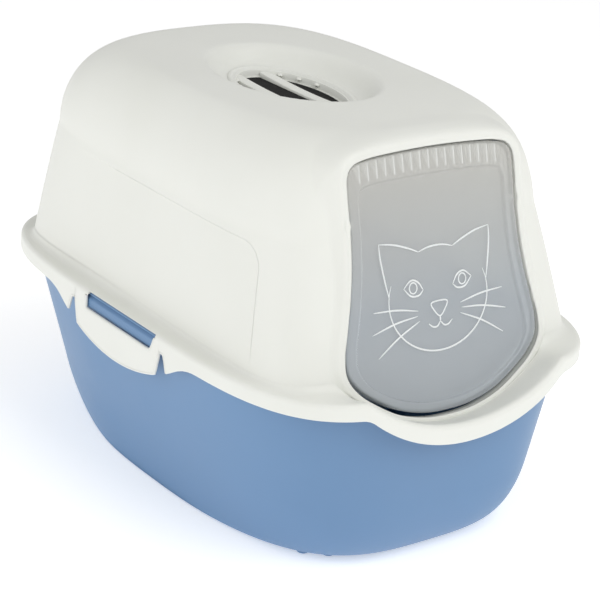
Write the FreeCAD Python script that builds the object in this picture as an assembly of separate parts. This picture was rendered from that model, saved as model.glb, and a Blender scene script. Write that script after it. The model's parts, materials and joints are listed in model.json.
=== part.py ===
import FreeCAD
import Part
import math
import os

from FreeCAD import Vector

os.makedirs("parts", exist_ok=True)

# A covered litter box: an open tray, a hood that rests on its rim and is held by a snap clip on
# each side, a see-through door that swings both ways, and a vented recess in the roof that is
# also the carrying handle, with a carbon filter held under it.
# Frame: +Z up, the door faces -Y, the origin is on the floor under the middle of the rim.
# All sizes are in millimetres.

# ---- driving dimensions -------------------------------------------------------------------
length = 560.0
width = 400.0
height = 390.0
wall = 2.5
body_gap = 0.3

# Rim: the hood's ledge and skirt, which stand out around the tray.
rim_corner = 112.0
rim_bow = 3.5
ledge_top = 185.0
skirt_height = 15.5
front_dip = 40.0
front_dip_radius = 165.0
front_blend_radius = 35.0

# Tray: drafted walls down to a knee, then a rolled bottom that narrows to a rounded floor.
tray_rim_z = ledge_top - wall - body_gap
tray_mouth_z = 180.0
tray_mouth_half_width = 194.3
tray_mouth_half_length = 265.3
tray_knee_z = 71.4
tray_knee_half_width = 153.6
tray_knee_half_length = 251.0
tray_knee_center_y = -10.9
tray_floor_z = 3.0
tray_floor_half_length = 216.1
tray_knee_corner = 98.0
tray_mouth_corner = 118.0
tray_floor_corner = 120.0
tray_knee_bow = 4.0
tray_floor_bow = 9.0
tray_wall = 2.8
peg_spots = ((105.0, -184.0), (88.0, -199.0), (105.0, 162.0), (88.0, 177.0))

# Hood walls.
front_lean = 0.282
front_wall_y_at_200 = -231.1
side_wall_x_at_189 = 178.8
side_draft = 0.133
back_wall_y = 237.5
roof_start_z = 305.0
roof_inset = 43.9
front_roof_start_z = 350.0
front_roof_inset = 22.0
hood_foot_corner = 55.0
hood_shoulder_corner = 72.0
hood_roof_corner = 86.0
hood_foot_bow = 1.5
hood_shoulder_bow = 2.0
hood_roof_bow = 5.0

# Clips.
clip_center_y = 6.0
clip_half_length = 73.0
clip_window_half_length = 61.0
clip_window_bottom = 165.0
clip_drop = 37.0
clip_curve_radius = 190.0
clip_blend_radius = 60.0
clip_hinge_gap = 0.4
slit_top_width = 4.0
slit_bottom_width = 13.0

# Door and its opening, measured in the plane of the leaning front wall from the hinge line.
hinge_z = 321.0
hinge_depth = 4.0
opening_top = 59.5
opening_bottom = -186.0
opening_half_waist = 98.0
door_clearance = 4.0
door_wall = 2.5
door_depth = 14.0
rib_count = 17
rib_spread = 79.5
rib_height = 16.0
rib_depth = 11.0
rib_thickness = 1.2
pin_radius = 3.0
pin_clearance = 0.06
frame_wall = 2.5

# Roof recess and filter.
recess_center_y = 25.0
recess_half_width = 76.0
recess_half_length = 95.0
recess_floor_z = 372.0
vent_half_width = 44.0
vent_half_length = 74.0
bar_x = 21.0
bar_width = 9.0
filter_thickness = 6.5
retainer_bottom = 354.4

half_width = width / 2.0
half_length = length / 2.0
skirt_low = ledge_top - skirt_height
lean_angle = math.atan(front_lean)


# ---- outline helpers ----------------------------------------------------------------------
def between(start, end, share):
    return start + (end - start) * share


def circle_crossing(center_1, radius_1, center_2, radius_2):
    """The crossing of two circles that lies in the +X +Y quarter."""
    dx = center_2[0] - center_1[0]
    dy = center_2[1] - center_1[1]
    gap = math.hypot(dx, dy)
    along_line = (gap * gap + radius_1 * radius_1 - radius_2 * radius_2) / (2.0 * gap)
    aside = math.sqrt(radius_1 * radius_1 - along_line * along_line)
    base_x = center_1[0] + along_line * dx / gap
    base_y = center_1[1] + along_line * dy / gap
    choices = []
    for sign in (1.0, -1.0):
        choices.append((base_x - sign * aside * dy / gap, base_y + sign * aside * dx / gap))
    return max(choices, key=lambda point: min(point))


def bowed_rectangle(a, b, center_y, corner, bow, z):
    """A rectangle of half sides a and b with bowed sides and round corners, all arcs tangent."""
    side_radius = ((b - corner) ** 2 + bow * bow) / (2.0 * bow)
    end_bow = bow * (a - corner) / (b - corner)
    end_radius = ((a - corner) ** 2 + end_bow * end_bow) / (2.0 * end_bow)
    side_center = (a - side_radius, 0.0)
    end_center = (0.0, b - end_radius)
    cx, cy = circle_crossing(side_center, side_radius - corner, end_center, end_radius - corner)
    reach = side_radius / (side_radius - corner)
    side_join = (side_center[0] + reach * (cx - side_center[0]), reach * cy)
    reach = end_radius / (end_radius - corner)
    end_join = (reach * cx, end_center[1] + reach * (cy - end_center[1]))
    middle_x = 0.5 * (side_join[0] + end_join[0]) - cx
    middle_y = 0.5 * (side_join[1] + end_join[1]) - cy
    stretch = corner / math.hypot(middle_x, middle_y)
    middle = (cx + stretch * middle_x, cy + stretch * middle_y)

    def at(point, sign_x, sign_y):
        return Vector(sign_x * point[0], center_y + sign_y * point[1], z)

    def arc(p, q, r):
        return Part.Arc(p, q, r).toShape()

    edges = [arc(at(side_join, 1, -1), Vector(a, center_y, z), at(side_join, 1, 1))]
    edges.append(arc(at(side_join, 1, 1), at(middle, 1, 1), at(end_join, 1, 1)))
    edges.append(arc(at(end_join, 1, 1), Vector(0, center_y + b, z), at(end_join, -1, 1)))
    edges.append(arc(at(end_join, -1, 1), at(middle, -1, 1), at(side_join, -1, 1)))
    edges.append(arc(at(side_join, -1, 1), Vector(-a, center_y, z), at(side_join, -1, -1)))
    edges.append(arc(at(side_join, -1, -1), at(middle, -1, -1), at(end_join, -1, -1)))
    edges.append(arc(at(end_join, -1, -1), Vector(0, center_y - b, z), at(end_join, 1, -1)))
    edges.append(arc(at(end_join, 1, -1), at(middle, 1, -1), at(side_join, 1, -1)))
    return Part.Wire(edges)


def loft(sections):
    """A solid through (a, b, center_y, corner, bow, z) sections."""
    wires = [bowed_rectangle(*section) for section in sections]
    return Part.makeLoft(wires, True, True)


def rim_prism(inset, z_low, z_high):
    """An upright solid with the rim's outline, moved inwards by inset."""
    ring = bowed_rectangle(half_width - inset, half_length - inset, 0.0, rim_corner - inset, rim_bow, z_low)
    return Part.Face(ring).extrude(Vector(0, 0, z_high - z_low))


def box(x0, x1, y0, y1, z0, z1):
    return Part.makeBox(x1 - x0, y1 - y0, z1 - z0, Vector(x0, y0, z0))


def dip_edges(depth, radius, blend, reach, base):
    """A level line at base that dips by depth in the middle: a bowl arc with a blend arc on
    each side, tangent to both. Points are (u, z) with u along the rim."""
    blend_start = math.sqrt(depth * (2.0 * radius - depth + 2.0 * blend))
    bowl_center = base - depth + radius
    share = radius / (radius + blend)
    join_u = share * blend_start
    join_z = bowl_center - share * (bowl_center - base + blend)
    half_angle = 0.5 * math.asin(join_u / radius)
    turn = math.asin((blend_start - join_u) / blend)
    middle_u = blend_start - blend * math.sin(0.5 * turn)
    middle_z = base - blend + blend * math.cos(0.5 * turn)
    low_u = radius * math.sin(half_angle)
    low_z = bowl_center - radius * math.cos(half_angle)
    outer = (reach, base)
    points = [outer, (blend_start, base), (middle_u, middle_z), (join_u, join_z)]
    return points, (low_u, low_z), (0.0, base - depth)


def dip_face(depth, radius, blend, reach, base, top, place):
    """The area between the dipped line and a level line at top; place turns (u, z) into a point."""
    side, low, bottom = dip_edges(depth, radius, blend, reach, base)
    edges = []
    for sign in (1.0, -1.0):
        p = [place(sign * u, z) for u, z in side]
        edges.append(Part.makeLine(p[0], p[1]))
        edges.append(Part.Arc(p[1], p[2], p[3]).toShape())
        middle = place(sign * low[0], low[1])
        edges.append(Part.Arc(p[3], middle, place(*bottom)).toShape())
        edges.append(Part.makeLine(p[0], place(sign * reach, top)))
    edges.append(Part.makeLine(place(-reach, top), place(reach, top)))
    return Part.Face(Part.Wire(Part.sortEdges(edges)[0]))


def above_rim_line(base, top):
    """Everything between the rim line at base, which dips under the door, and a level at top."""
    front = dip_face(front_dip, front_dip_radius, front_blend_radius, 260.0, base, top,
                     lambda u, z: Vector(u, -320.0, z))
    front_half = front.extrude(Vector(0, 170.0, 0))
    return front_half.fuse(box(-260, 260, -150, 320, base, top)).removeSplitter()


def above_skirt_edge(top):
    """Everything above the skirt's lower edge, which dips at the front and at both clips."""
    region = above_rim_line(skirt_low, top)
    for side in (-1.0, 1.0):
        face = dip_face(clip_drop, clip_curve_radius, clip_blend_radius, 160.0, skirt_low,
                        ledge_top - 1.0, lambda u, z: Vector(side * 150.0, clip_center_y + u, z))
        region = region.fuse(face.extrude(Vector(side * 80.0, 0, 0)))
    return region


# ---- door plane ---------------------------------------------------------------------------
hinge_wall_y = front_wall_y_at_200 + front_lean * (hinge_z - 200.0)
along = Vector(0, math.sin(lean_angle), math.cos(lean_angle))
outward = Vector(0, -math.cos(lean_angle), math.sin(lean_angle))
hinge_on_wall = Vector(0, hinge_wall_y, hinge_z)
hinge_center = hinge_on_wall - outward * hinge_depth


def on_wall(x, s, depth=0.0):
    """The point x across, s up the front wall from the hinge line, depth out of the wall."""
    return hinge_on_wall + Vector(x, 0, 0) + along * s + outward * depth


def bell_face(inset, depth):
    """The door opening's bell outline, drawn in by inset."""
    top = opening_top - inset
    bottom = opening_bottom + inset
    waist = opening_half_waist - inset
    edges = []
    for sign in (1.0, -1.0):
        def at(x, s):
            return on_wall(sign * x, s, depth)
        crown = at(0, top)
        shoulder = at(waist - 8.0, top - 5.0)
        side_top = at(waist + 0.5, top - 17.0)
        middle = at(waist + 3.0, -45)
        hip = at(waist + 16.5, -122)
        heel = at(waist + 7.0, -150.0 + inset)
        edges.append(Part.Arc(crown, at(0.5 * waist, top - 1.3), shoulder).toShape())
        edges.append(Part.Arc(shoulder, at(waist - 2.0, top - 9.0), side_top).toShape())
        edges.append(Part.Arc(side_top, at(waist, 0), middle).toShape())
        edges.append(Part.Arc(middle, at(waist + 9.0, -84.0), hip).toShape())
        edges.append(Part.Arc(hip, at(waist + 15.0, -137.5), heel).toShape())
        edges.append(Part.Arc(heel, at(0.6 * waist, bottom + 11.0), at(0, bottom)).toShape())
    return Part.Face(Part.Wire(Part.sortEdges(edges)[0]))


def bell_prism(inset, depth_from, depth_to):
    return bell_face(inset, depth_from).extrude(outward * (depth_to - depth_from))


# ---- tray ---------------------------------------------------------------------------------
def tray_sections(inset, floor, top):
    """Sections of the tray: drafted walls over a knee that rolls into the rounded floor."""
    def wall_section(z):
        rise = (z - tray_knee_z) / (tray_mouth_z - tray_knee_z)
        a = between(tray_knee_half_width, tray_mouth_half_width, rise) - inset
        b = between(tray_knee_half_length, tray_mouth_half_length, rise) - inset
        center_y = between(tray_knee_center_y, 0.0, rise)
        corner = between(tray_knee_corner, tray_mouth_corner, rise) - inset
        return (a, b, center_y, corner, tray_knee_bow, z)
    sections = [wall_section(top), wall_section(tray_knee_z)]
    for degrees in (18, 36, 54, 72, 90):
        roll = math.radians(degrees)
        share = 1.0 - math.cos(roll)
        z = tray_knee_z - (tray_knee_z - floor) * math.sin(roll)
        a = tray_knee_half_width - inset
        b = between(tray_knee_half_length, tray_floor_half_length, share) - inset
        corner = between(tray_knee_corner, tray_floor_corner, share) - inset
        bow = between(tray_knee_bow, tray_floor_bow, share)
        sections.append((a, b, tray_knee_center_y, corner, bow, z))
    return sections


def base_tray():
    outer = loft(tray_sections(0.0, tray_floor_z, 190.0))
    inner = loft(tray_sections(tray_wall, tray_floor_z + tray_wall, 190.0))
    above = above_rim_line(tray_rim_z, 200.0)
    shell = outer.cut(inner).cut(above)
    # The flange carries the hood's ledge and follows the dip under the door.
    flange = above_rim_line(tray_rim_z - wall, 200.0).cut(above)
    flange = flange.common(rim_prism(wall + 0.7, 90.0, 200.0)).cut(inner)
    tray = shell.fuse(flange)
    # A rounded bar under the flange on each side, which the clip closes over.
    bar_reach = clip_window_half_length - 6.0
    for side in (-1.0, 1.0):
        low = min(side * 190.0, side * (half_width - wall - 1.5))
        high = max(side * 190.0, side * (half_width - wall - 1.5))
        bar = box(low, high, clip_center_y - bar_reach, clip_center_y + bar_reach, 167.0, tray_rim_z - 1.0)
        tray = tray.fuse(bar.cut(inner))
    # Small pegs under each corner of the floor.
    for side in (-1.0, 1.0):
        for x, y in peg_spots:
            peg = Part.makeCone(4.0, 6.0, 16.0, Vector(side * x, y, 0))
            tray = tray.fuse(peg.cut(inner))
    return tray.removeSplitter()


# ---- hood ---------------------------------------------------------------------------------
def hood_sections(inset, bottom):
    """Sections of the hood: nearly straight walls, then a large round roof edge."""
    def section(z, a, front, back, corner, bow):
        return (a - inset, 0.5 * (back - front) - inset, 0.5 * (back + front), corner - inset, bow, z)

    def side_x(z):
        return side_wall_x_at_189 - side_draft * (z - 189.0)

    def front_y(z):
        return front_wall_y_at_200 + front_lean * (z - 200.0)

    sections = [section(bottom, side_x(bottom), front_y(bottom), back_wall_y, hood_foot_corner, hood_foot_bow)]
    sections.append(section(roof_start_z, side_x(roof_start_z), front_y(roof_start_z), back_wall_y,
                            hood_shoulder_corner, hood_shoulder_bow))
    top = height - inset
    for rise in (0.35, 0.6, 0.78, 0.9, 0.97, 1.0):
        z = roof_start_z + (top - roof_start_z) * rise
        share = 1.0 - math.sqrt(1.0 - rise * rise)
        front_rise = max(0.0, z - front_roof_start_z) / (top - front_roof_start_z)
        front_share = 1.0 - math.sqrt(1.0 - min(1.0, front_rise) ** 2)
        a = side_x(roof_start_z) - roof_inset * share
        front = front_y(z) + front_roof_inset * front_share
        back = back_wall_y - roof_inset * share
        corner = between(hood_shoulder_corner, hood_roof_corner, share)
        bow = between(hood_shoulder_bow, hood_roof_bow, share)
        sections.append(section(z, a, front, back, corner, bow))
    return sections


def oval(a, b, z):
    """An ellipse around the recess's middle, longer along Y."""
    ellipse = Part.Ellipse(Vector(0, b, 0), Vector(a, 0, 0), Vector(0, 0, 0))
    ellipse.translate(Vector(0, recess_center_y, z))
    return Part.Wire([ellipse.toShape()])


def oval_prism(a, b, z_low, z_high):
    return Part.Face(oval(a, b, z_low)).extrude(Vector(0, 0, z_high - z_low))


def recess_volume(offset):
    """The hand recess in the roof: an oval dish that narrows to its floor."""
    wires = []
    for share, z in ((1.06, height + 6.0), (0.96, height - 6.0), (0.84, recess_floor_z - offset)):
        wires.append(oval(recess_half_width * share + offset, recess_half_length * share + offset, z))
    return Part.makeLoft(wires, True, True)


def rim_parts():
    """The ledge and skirt around the walls, before the clips are parted from them."""
    wall_outer = loft(hood_sections(0.0, 100.0))
    band = rim_prism(0.0, 90.0, 200.0)
    ledge = above_rim_line(ledge_top - wall, 200.0).cut(above_rim_line(ledge_top, 200.0))
    ledge = ledge.common(band).cut(wall_outer)
    skirt = band.cut(rim_prism(wall, 90.0, 200.0))
    skirt = skirt.common(above_skirt_edge(200.0)).cut(above_rim_line(ledge_top - wall, 200.0))
    return wall_outer, ledge, skirt


def clip_outline(side, half_top, half_bottom, top):
    """An upright area across the skirt, from half_top wide at top to half_bottom wide below."""
    low = 120.0
    corners = ((-half_top, top), (half_top, top), (half_bottom, low), (-half_bottom, low))
    points = [Vector(side * 190.0, clip_center_y + u, z) for u, z in corners]
    points.append(points[0])
    return Part.Face(Part.makePolygon(points)).extrude(Vector(side * 20.0, 0, 0))


def snap_clip(skirt, side):
    clip = skirt.common(clip_outline(side, clip_half_length, clip_half_length - 4.0,
                                     ledge_top - wall - clip_hinge_gap))
    low = min(side * 190.0, side * 210.0)
    window = box(low, low + 20.0, clip_center_y - clip_window_half_length,
                 clip_center_y + clip_window_half_length, clip_window_bottom, 200.0)
    return clip.cut(window)


def hood_shell(wall_outer, ledge, skirt):
    wall_inner = loft(hood_sections(wall, 100.0))
    shell = wall_outer.cut(wall_inner).common(above_rim_line(ledge_top - wall, 400.0))
    dish = recess_volume(0.0)
    dish_wall = recess_volume(wall).common(wall_outer)
    shell = shell.fuse(dish_wall).cut(dish)
    shell = shell.cut(oval_prism(vent_half_width, vent_half_length, 360.0, 380.0))
    for side in (-1.0, 1.0):
        slit = clip_outline(side, clip_half_length + slit_top_width,
                            clip_half_length + slit_bottom_width, ledge_top - wall)
        skirt = skirt.cut(slit)
    # The door opening, its flanged frame and the two hinge bosses.
    shell = shell.cut(bell_prism(0.0, -15.0, 3.0))
    frame = bell_prism(-frame_wall, -8.0, 1.5).cut(bell_prism(0.0, -9.0, 2.0))
    hood = shell.fuse([ledge.cut(bell_prism(0.0, -15.0, 3.0)), skirt, frame])
    boss_start = opening_half_waist + 0.3
    for side in (-1.0, 1.0):
        across = Vector(side, 0, 0)
        boss = Part.makeCylinder(6.0, 6.0, hinge_center + across * boss_start, across)
        hole = Part.makeCylinder(pin_radius + pin_clearance, 8.0, hinge_center + across * 95.0, across)
        hood = hood.fuse(boss).cut(hole)
    return hood.removeSplitter()


# ---- door ---------------------------------------------------------------------------------
def door_rib(x):
    """A thin triangle behind the panel that stiffens the door's top wall."""
    top = opening_top - door_clearance - 0.4 * door_wall - 3.9 * (x / rib_spread) ** 2
    back = -0.5 * door_wall
    corners = [on_wall(x, top, back), on_wall(x, top - rib_height, back), on_wall(x, top, back - rib_depth)]
    triangle = Part.Face(Part.makePolygon(corners + corners[:1]))
    triangle.translate(Vector(-0.5 * rib_thickness, 0, 0))
    return triangle.extrude(Vector(rib_thickness, 0, 0))


def door_flap():
    """A shallow box, open to the inside: a panel flush with the wall and a wall around its edge."""
    pan = bell_prism(door_clearance, -door_depth, 0.0)
    door = pan.cut(bell_prism(door_clearance + door_wall, -door_depth - 1.0, -door_wall))
    pitch = 2.0 * rib_spread / (rib_count - 1)
    door = door.fuse([door_rib(-rib_spread + pitch * count) for count in range(rib_count)])
    for side in (-1.0, 1.0):
        across = Vector(side, 0, 0)
        start = opening_half_waist - door_clearance - 2.0
        pin = Part.makeCylinder(pin_radius, 9.5, hinge_center + across * start, across)
        door = door.fuse(pin)
    return door.removeSplitter()


# ---- vent and filter ----------------------------------------------------------------------
def filter_grille():
    """The oval insert that closes the recess floor, with two bars along the roof."""
    outer_a = vent_half_width - body_gap
    outer_b = vent_half_length - body_gap
    bottom = recess_floor_z - 8.0
    ring = oval_prism(outer_a, outer_b, bottom, recess_floor_z)
    ring = ring.cut(oval_prism(outer_a - 4.0, outer_b - 4.0, bottom - 1.0, recess_floor_z + 1.0))
    inside = oval_prism(outer_a - 3.0, outer_b - 3.0, bottom, bottom + 3.0)
    for x in (-bar_x, bar_x):
        bar = box(x - 0.5 * bar_width, x + 0.5 * bar_width, -100.0, 150.0, bottom, bottom + 3.0)
        ring = ring.fuse(bar.common(inside))
    return ring.removeSplitter()


def carbon_filter():
    top = recess_floor_z - 8.0 - body_gap
    return oval_prism(vent_half_width + 2.0, vent_half_length + 2.0, top - filter_thickness, top)


def filter_retainer():
    """The slotted cover inside the hood that holds the filter up against the grille."""
    outer_a = vent_half_width + 6.0
    outer_b = vent_half_length + 6.0
    floor = recess_floor_z - 8.0 - body_gap - filter_thickness - body_gap
    top = recess_floor_z - wall - body_gap
    cup = oval_prism(outer_a, outer_b, retainer_bottom, top)
    cup = cup.cut(oval_prism(outer_a - 2.0, outer_b - 2.0, floor, top + 1.0))
    for row in range(-3, 4):
        y = recess_center_y + row * 18.0
        slot = box(-26.0, 26.0, y - 3.0, y + 3.0, retainer_bottom - 1.0, floor + 1.0)
        cup = cup.cut(slot)
    return cup


# ---- write the parts ----------------------------------------------------------------------
def save(name, shape):
    solids = shape.Solids
    if len(solids) == 1:
        shape = solids[0]
    print(name, "solids", len(solids), "valid", shape.isValid(), "volume", round(shape.Volume))
    shape.exportStep("parts/" + name + ".step")


wall_outer, ledge, skirt = rim_parts()
save("base_tray", base_tray())
save("hood_shell", hood_shell(wall_outer, ledge, skirt))
save("left_clip", snap_clip(skirt, -1.0))
save("right_clip", snap_clip(skirt, 1.0))
save("door_flap", door_flap())
save("filter_grille", filter_grille())
save("carbon_filter", carbon_filter())
save("filter_retainer", filter_retainer())
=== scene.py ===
# %% [markdown]
# # A covered cat litter box, piece by piece
# The real object is a handful of large injection mouldings: a blue tray, an off-white hood with a
# snap clip on each side, a smoky clear door on two pins, and a vent in the roof with a carbon
# filter. Each piece below is a surface worked out from a formula on a grid, in millimetres, and
# turned to metres when its mesh is made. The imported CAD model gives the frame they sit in.

# %% Load the frame
import json
import math
import bmesh
import bpy
import numpy as np
from mathutils import Matrix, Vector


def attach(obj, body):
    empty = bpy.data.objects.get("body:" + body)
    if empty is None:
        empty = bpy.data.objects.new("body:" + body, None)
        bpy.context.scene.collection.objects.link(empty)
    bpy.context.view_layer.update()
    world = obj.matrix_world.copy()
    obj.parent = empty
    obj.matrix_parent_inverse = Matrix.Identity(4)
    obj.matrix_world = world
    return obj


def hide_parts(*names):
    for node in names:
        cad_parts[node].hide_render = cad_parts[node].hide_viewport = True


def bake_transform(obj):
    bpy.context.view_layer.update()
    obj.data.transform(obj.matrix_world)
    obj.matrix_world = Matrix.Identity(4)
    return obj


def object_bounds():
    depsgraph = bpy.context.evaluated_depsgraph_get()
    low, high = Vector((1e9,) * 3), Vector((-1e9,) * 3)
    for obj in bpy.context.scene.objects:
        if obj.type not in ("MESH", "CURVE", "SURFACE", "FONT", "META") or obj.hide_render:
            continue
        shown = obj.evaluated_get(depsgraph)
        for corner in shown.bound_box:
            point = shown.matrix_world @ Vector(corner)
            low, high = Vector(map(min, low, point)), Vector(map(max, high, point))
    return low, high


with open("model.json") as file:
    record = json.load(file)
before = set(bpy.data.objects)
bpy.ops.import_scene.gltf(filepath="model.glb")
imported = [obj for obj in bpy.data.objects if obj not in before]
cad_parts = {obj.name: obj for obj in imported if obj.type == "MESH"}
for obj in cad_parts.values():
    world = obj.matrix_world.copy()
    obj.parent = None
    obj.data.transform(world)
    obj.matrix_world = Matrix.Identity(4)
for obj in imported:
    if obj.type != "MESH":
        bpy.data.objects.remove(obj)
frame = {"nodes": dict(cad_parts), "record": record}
MM = 0.001
cad_low, cad_high = [list(corner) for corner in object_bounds()]
half_width, half_length, height = [side / MM for side in cad_high]
joints = {joint["name"]: joint for joint in frame["record"]["behaviour"]["joints"]}
print("half width, half length, height in mm:", round(half_width), round(half_length), round(height))

# %% [markdown]
# ## Grids, rings and holes
# A moulded shell is a sheet that follows a few outlines, so a grid of points fits it: one
# direction runs round the outline and the other up the wall. A hole such as the door opening
# doesn't follow the grid, so it is cut along its own line instead: each triangle that the line
# crosses is split there. Sculpting or boolean cuts would also work, but they leave uneven edges.

# %% Grid and mesh helpers
def grid_faces(rows, columns, wrap=True):
    """Quads between neighbouring points of a grid; the last column joins the first if it wraps."""
    r, c = np.meshgrid(np.arange(rows - 1), np.arange(columns if wrap else columns - 1), indexing="ij")
    n = (c + 1) % columns
    quads = [r * columns + c, r * columns + n, (r + 1) * columns + n, (r + 1) * columns + c]
    return np.stack(quads, -1).reshape(-1, 4)


def triangles(quads):
    """Each quad split along one diagonal into two triangles."""
    return np.concatenate([quads[:, [0, 1, 2]], quads[:, [0, 2, 3]]])


def cut(points, faces, gap):
    """Keeps the part of a triangle mesh where gap is above 0: a triangle with one or two corners
    outside is cut where gap, taken as straight along each edge, reaches 0."""
    kept = gap[faces] > 0
    count = kept.sum(1)
    out = [faces[count == 3]]
    extra = []
    start = len(points)
    for wanted, alone in ((1, True), (2, False)):
        some, inside = faces[count == wanted], kept[count == wanted]
        first = np.argmax(inside == alone, 1)
        order = (first[:, None] + np.arange(3)) % 3
        a, b, c = np.take_along_axis(some, order, 1).T
        share_b = (gap[a] / (gap[a] - gap[b]))[:, None]
        share_c = (gap[a] / (gap[a] - gap[c]))[:, None]
        on_b = start + np.arange(len(a))
        on_c = on_b + len(a)
        extra += [points[a] + share_b * (points[b] - points[a]),
                  points[a] + share_c * (points[c] - points[a])]
        start += 2 * len(a)
        if alone:
            out.append(np.stack([a, on_b, on_c], -1))
        else:
            out.append(np.stack([on_b, b, c], -1))
            out.append(np.stack([on_b, c, on_c], -1))
    return np.concatenate([points] + extra), np.concatenate(out)


def add_piece(name, shells, material, body, replaced=(), sharp=38, wall=0, hinge_from=None):
    """Makes one mesh of (points, faces) shells in mm, welds their seams, and lets it ride on a body;
    given hinge_from, it rides on none and stays where it is made, and the bodies and points in hinge_from are
    not used."""
    mesh = bpy.data.meshes.new(name)
    corners, faces, start = [], [], 0
    for points, polygons in shells:
        points = points.reshape(-1, 3)
        corners.append(points)
        faces += (polygons + start).tolist()
        start += len(points)
    mesh.from_pydata((np.concatenate(corners) * MM).tolist(), [], faces)
    work = bmesh.new()
    work.from_mesh(mesh)
    bmesh.ops.remove_doubles(work, verts=work.verts, dist=2e-6)
    bmesh.ops.delete(work, geom=[v for v in work.verts if not v.link_faces], context="VERTS")
    work.to_mesh(mesh)
    work.free()
    mesh.shade_smooth()
    mesh.set_sharp_from_angle(angle=math.radians(sharp))
    mesh.materials.append(material)
    piece = bpy.data.objects.new(name, mesh)
    bpy.context.collection.objects.link(piece)
    if wall:
        shell = piece.modifiers.new("wall", "SOLIDIFY")
        shell.thickness, shell.offset = wall * MM, -1
    if hinge_from:
        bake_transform(piece)
    else:
        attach(piece, body)
    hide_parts(*replaced)
    print(name, "rides on", body, "with", len(mesh.polygons), "faces")
    return piece


def smooth(share):
    """0 below 0, 1 above 1, and an S curve between."""
    share = np.clip(share, 0, 1)
    return share * share * (3 - 2 * share)


def smooth_line(points, steps=8, closed=False):
    """A Catmull-Rom curve through points: each span is a cubic whose slope at a point is half the
    step between that point's two neighbours."""
    p = np.asarray(points, float)
    if not closed:
        p = np.concatenate([2 * p[:1] - p[1:2], p, 2 * p[-1:] - p[-2:-1]])
    spans = len(p) if closed else len(p) - 3
    t = np.arange(steps)[None, :, None] / steps
    index = np.arange(spans)
    a, b, c, d = [p[(index + k) % len(p)][:, None, :] for k in range(4)]
    curve = b + 0.5 * t * (c - a + t * (2 * a - 5 * b + 4 * c - d + t * (3 * b - a - 3 * c + d)))
    curve = curve.reshape(-1, p.shape[1])
    return curve if closed else np.concatenate([curve, p[-2:-1]])


def tube(path, radius, closed=False, flat=1.0, normal=(0, -1, 0), sides=8):
    """A tube carried along a path: circles of that radius, squeezed by flat along normal."""
    path = np.asarray(path, float)
    if closed:
        along = np.roll(path, -1, 0) - np.roll(path, 1, 0)
    else:
        along = np.gradient(path, axis=0)
    along /= np.linalg.norm(along, axis=1, keepdims=True)
    normal = np.broadcast_to(np.asarray(normal, float), path.shape)
    aside = np.cross(along, normal)
    aside /= np.linalg.norm(aside, axis=1, keepdims=True)
    normal = np.cross(aside, along)
    radius = np.broadcast_to(radius, len(path))[:, None]
    turn = (np.arange(sides) * 2 * np.pi / sides)[:, None, None]
    rings = path + radius * (np.cos(turn) * aside + flat * np.sin(turn) * normal)
    rings = np.swapaxes(rings, 0, 1)
    if not closed:
        tips = [np.repeat(tip[None], sides, 1) for tip in (path[:1], path[-1:])]
        rings = np.concatenate([tips[0], rings, tips[1]])
    else:
        rings = np.concatenate([rings, rings[:1]])
    return rings, grid_faces(len(rings), sides)[:, ::-1]


print("helpers ready")

# %% [markdown]
# ## Moulded polypropylene
# Tray, hood and grille are polypropylene, injection moulded in a steel tool with a fine spark
# eroded grain. That gives the eye a soft, wide highlight, a faint pebble when close, and a little
# light that soaks into the wall. A glossy paint-like shader would be wrong; roughness near 0.45
# and a grain bump is what reads as this plastic. The grain is about 0.4 mm; it is drawn at 1.2 mm
# so that it still shows from a metre away.

# %% Materials
def linear(hexcode):
    """An sRGB hex colour as linear red, green, blue and alpha."""
    channels = np.array([int(hexcode[i:i + 2], 16) for i in (1, 3, 5)]) / 255
    light = np.where(channels <= 0.04045, channels / 12.92, ((channels + 0.055) / 1.055) ** 2.4)
    return (*[float(value) for value in light], 1.0)


def add_node(tree, kind, inputs=None, **settings):
    """Adds a shader node: settings are its own fields; inputs are values, or (node, output) links."""
    made = tree.nodes.new(kind)
    for field, value in settings.items():
        setattr(made, field, value)
    for socket, value in (inputs or {}).items():
        if isinstance(value, tuple) and isinstance(value[0], bpy.types.Node):
            tree.links.new(value[0].outputs[value[1]], made.inputs[socket])
        else:
            made.inputs[socket].default_value = value
    return made


def start_material(name, **surface):
    """A new material with its Principled shader set, and the object's own coordinates."""
    made = bpy.data.materials.new(name)
    made.use_nodes = True
    shader = made.node_tree.nodes["Principled BSDF"]
    for socket, value in surface.items():
        shader.inputs[socket.replace("_", " ")].default_value = value
    place = add_node(made.node_tree, "ShaderNodeTexCoord")
    return made, made.node_tree, shader, (place, "Object")


def mottle(tree, place, shader, first, second, patch_mm, rough_low, rough_high):
    """Slow changes of colour and gloss, as cooling leaves in a large moulding."""
    patch = add_node(tree, "ShaderNodeTexNoise", {"Vector": place, "Scale": 1000 / patch_mm, "Detail": 4.0})
    blend = add_node(tree, "ShaderNodeMix", {0: (patch, 0), 6: linear(first), 7: linear(second)},
                     data_type="RGBA")
    tree.links.new(blend.outputs[2], shader.inputs["Base Color"])
    gloss = add_node(tree, "ShaderNodeMapRange", {"Value": (patch, 0), "From Min": 0.3, "From Max": 0.7,
                                                  "To Min": rough_low, "To Max": rough_high})
    tree.links.new(gloss.outputs[0], shader.inputs["Roughness"])


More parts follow.
